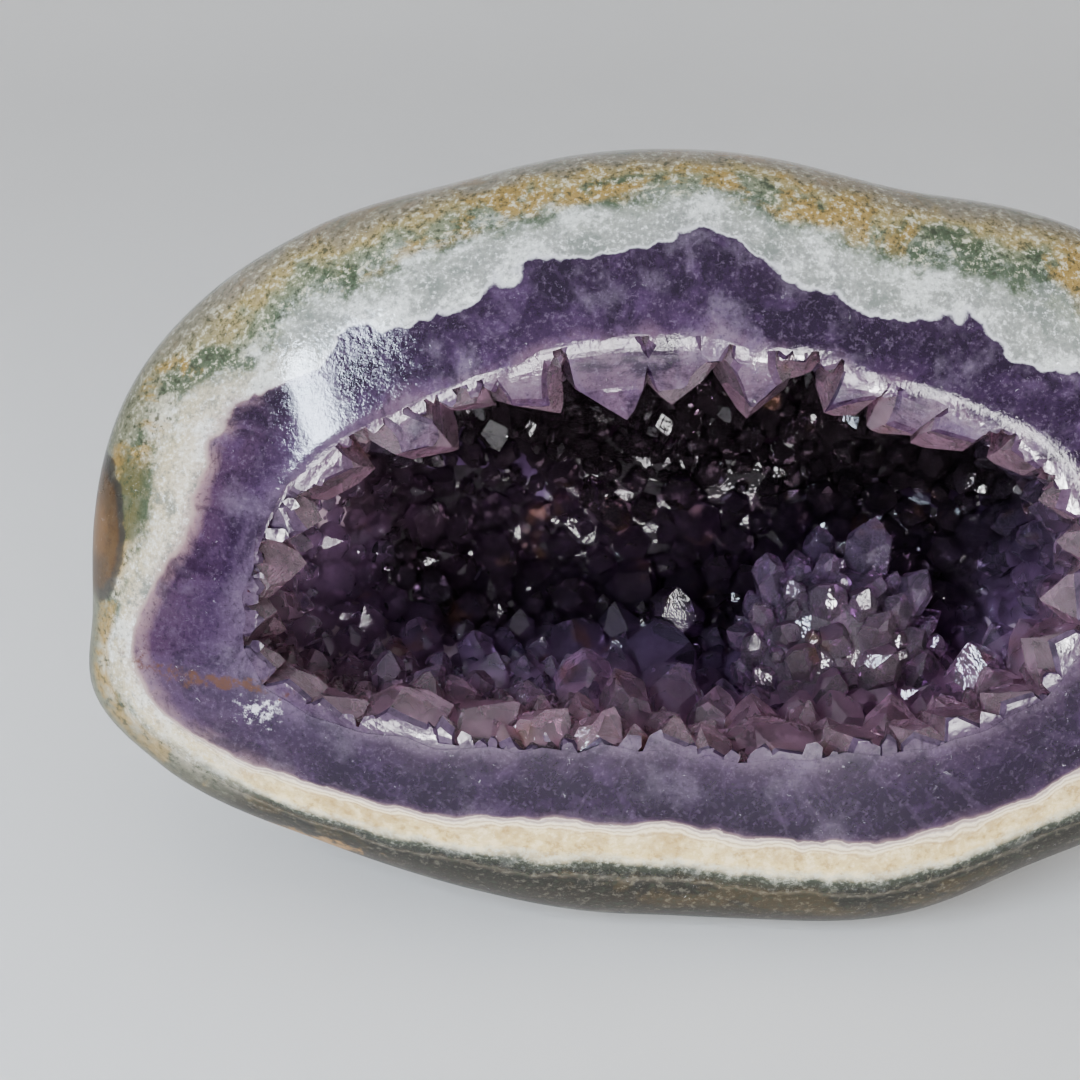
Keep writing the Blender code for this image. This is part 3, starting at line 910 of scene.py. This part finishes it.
amethyst, tree, shader = new_material("amethyst")
place = place_on(tree)
front = stored(tree, "front")
height = stored(tree, "height")
drift = cloud(tree, place, 60)
# Painted light and shade: the points are paler towards the front of the hollow and on its floor, and darker
# deep in it and up at its top, with a random drift
painted_lighting = front * 1.2 - 0.10 - height * 0.22 + (drift - 0.5) * 0.5
veil = cloud(tree, place, 210, 5.0, 0.65, 0.6).between(0.36, 0.62)
colour = painted_lighting.ramp((0.0, (0.26, 0.20, 0.24)), (0.30, (0.60, 0.48, 0.72)), (0.62, (0.80, 0.66, 0.86)),
                   (0.95, (1.0, 0.80, 0.87))) * (0.74 + veil * 0.26)
stain = cloud(tree, place, 85).between(0.62, 0.74)
colour = (stain * 0.7).blend(colour, (0.80, 0.48, 0.30))
steps_of_growth = cloud(tree, place, 380, 3.0, 0.6) + cloud(tree, place, 1300, 2.0) * 0.25
ripple = Wire.node(tree, "ShaderNodeBump", {}, {
    "Strength": 0.45, "Distance": 0.3 * MM, "Height": steps_of_growth})
roughness = 0.03 + cloud(tree, place, 240).between(0.55, 0.8) * 0.12
connect(tree, shader, {
    "Base Color": colour, "Roughness": roughness, "IOR": 1.544,
    "Transmission Weight": 0.93, "Normal": ripple,
})
absorb = Wire.node(tree, "ShaderNodeVolumeAbsorption", {}, {"Color": (0.60, 0.34, 0.58, 1), "Density": 50.0})
connect(tree, tree.nodes["Material Output"], {"Volume": absorb})
crystal_mesh.materials.clear()
crystal_mesh.materials.append(amethyst)
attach(crystals, "root")
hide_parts("crystal_crust")

# The floor it is shown on: plain and pale, sweeping up behind. It isn't part of the stone.
sweep = [(-0.9, 0.0), (0.5, 0.0), (0.62, 0.012), (0.72, 0.05), (0.79, 0.12), (0.82, 0.22), (0.83, 1.2)]
mesh = bpy.data.meshes.new("floor")
mesh.from_pydata([(x, y, z - 0.0002) for y, z in sweep for x in (-1.6, 1.6)], [],
                 [(2 * k, 2 * k + 1, 2 * k + 3, 2 * k + 2) for k in range(len(sweep) - 1)])
floor = put_in_scene("floor", mesh)
shade(mesh, True)
paper, tree, shader = new_material("pale_floor")
place = place_on(tree)
tone = cloud(tree, place, 4).blend((0.66, 0.65, 0.63), (0.71, 0.70, 0.68))
connect(tree, shader, {"Base Color": tone, "Roughness": 0.55})
mesh.materials.append(paper)

# Soft studio light: pale walls, five tall slats of light and two small lamps low in front, which glint on
# the crystals, and a long narrow panel at the upper left, which the face mirrors as a blue-white streak
world = bpy.data.worlds.new("walls")
bpy.context.scene.world = world
world.use_nodes = True
tree = world.node_tree
sky = Wire.node(tree, "ShaderNodeTexCoord", {}, {}, 0)
ahead_of_face = Wire.node(tree, "ShaderNodeSeparateXYZ", {}, {0: sky}, 1)
upward = Wire.node(tree, "ShaderNodeSeparateXYZ", {}, {0: sky}, 2)
height_in_room = (upward - ahead_of_face * 0.35).between(-0.3, 1.1)
light_of_room = height_in_room.blend((0.16, 0.16, 0.17), (1.25, 1.26, 1.30))
connect(tree, tree.nodes["Background"], {"Color": light_of_room, "Strength": 0.59})


def softbox(name, at, aim, size, power, colour=(1, 1, 1), along=(1, 0, 0)):
    """A rectangular light that faces a point, its first side turned along a direction."""
    light = bpy.data.lights.new(name, "AREA")
    light.shape = "RECTANGLE"
    light.size, light.size_y = size
    light.energy = power
    light.color = colour
    obj = put_in_scene(name, light)
    back = (Vector(at) - Vector(aim)).normalized()
    side = (Vector(along) - back * back.dot(Vector(along))).normalized()
    obj.matrix_world = Matrix.Translation(at) @ Matrix([side, back.cross(side), back]).transposed().to_4x4()


softbox("window", (-0.437, -0.522, 0.529), (-0.065, -0.035, 0.10), (0.42, 0.09), 5.4,
        colour=(0.74, 0.85, 1.0), along=(-0.18, 0.43, 0.27))
SLATS, SLAT_SPACING, SLATS_MIDDLE = 5, 0.16, 0.04
for k in range(SLATS):
    across = SLATS_MIDDLE + (k - SLATS // 2) * SLAT_SPACING
    softbox("slat", (across, -0.85, 0.21), (0, 0, 0.08), (0.055, 0.26), 1.18)
softbox("lamp_right", (0.17, -0.88, 0.10), (0.02, 0, 0.06), (0.07, 0.07), 1.5)
softbox("lamp_left", (-0.17, -0.88, 0.08), (0.0, 0, 0.06), (0.07, 0.07), 1.2)
bpy.context.scene.view_settings.look = "AgX - Medium High Contrast"
bpy.context.scene.cycles.adaptive_threshold = 0.08
bpy.context.scene.cycles.adaptive_min_samples = 12
for kind, count in (("max", 8), ("transmission", 7), ("glossy", 4), ("diffuse", 2), ("volume", 0)):
    setattr(bpy.context.scene.cycles, kind + "_bounces", count)

# The camera, at the photograph's viewing angle. The middle of the face lies to the right of the picture's.
CAMERA_DROP = math.radians(31)
VIEW_DISTANCE = 300 * MM
PIXEL = 0.183 * MM
PICTURE_WIDTH = 1080 * PIXEL
FACE_RIGHT, FACE_DOWN = 140 * PIXEL, 5 * PIXEL
camera = put_in_scene("camera", bpy.data.cameras.new("camera"))
camera.data.lens = camera.data.sensor_width * VIEW_DISTANCE / PICTURE_WIDTH
ahead = Vector((0, math.cos(CAMERA_DROP), -math.sin(CAMERA_DROP)))
over = Vector((0, math.sin(CAMERA_DROP), math.cos(CAMERA_DROP)))
camera.location = FACE_CENTRE - ahead * VIEW_DISTANCE - Vector((FACE_RIGHT, 0, 0)) + over * FACE_DOWN
camera.rotation_euler = (math.pi / 2 - CAMERA_DROP, 0, 0)
camera.data.clip_start = 0.01
bpy.context.scene.camera = camera
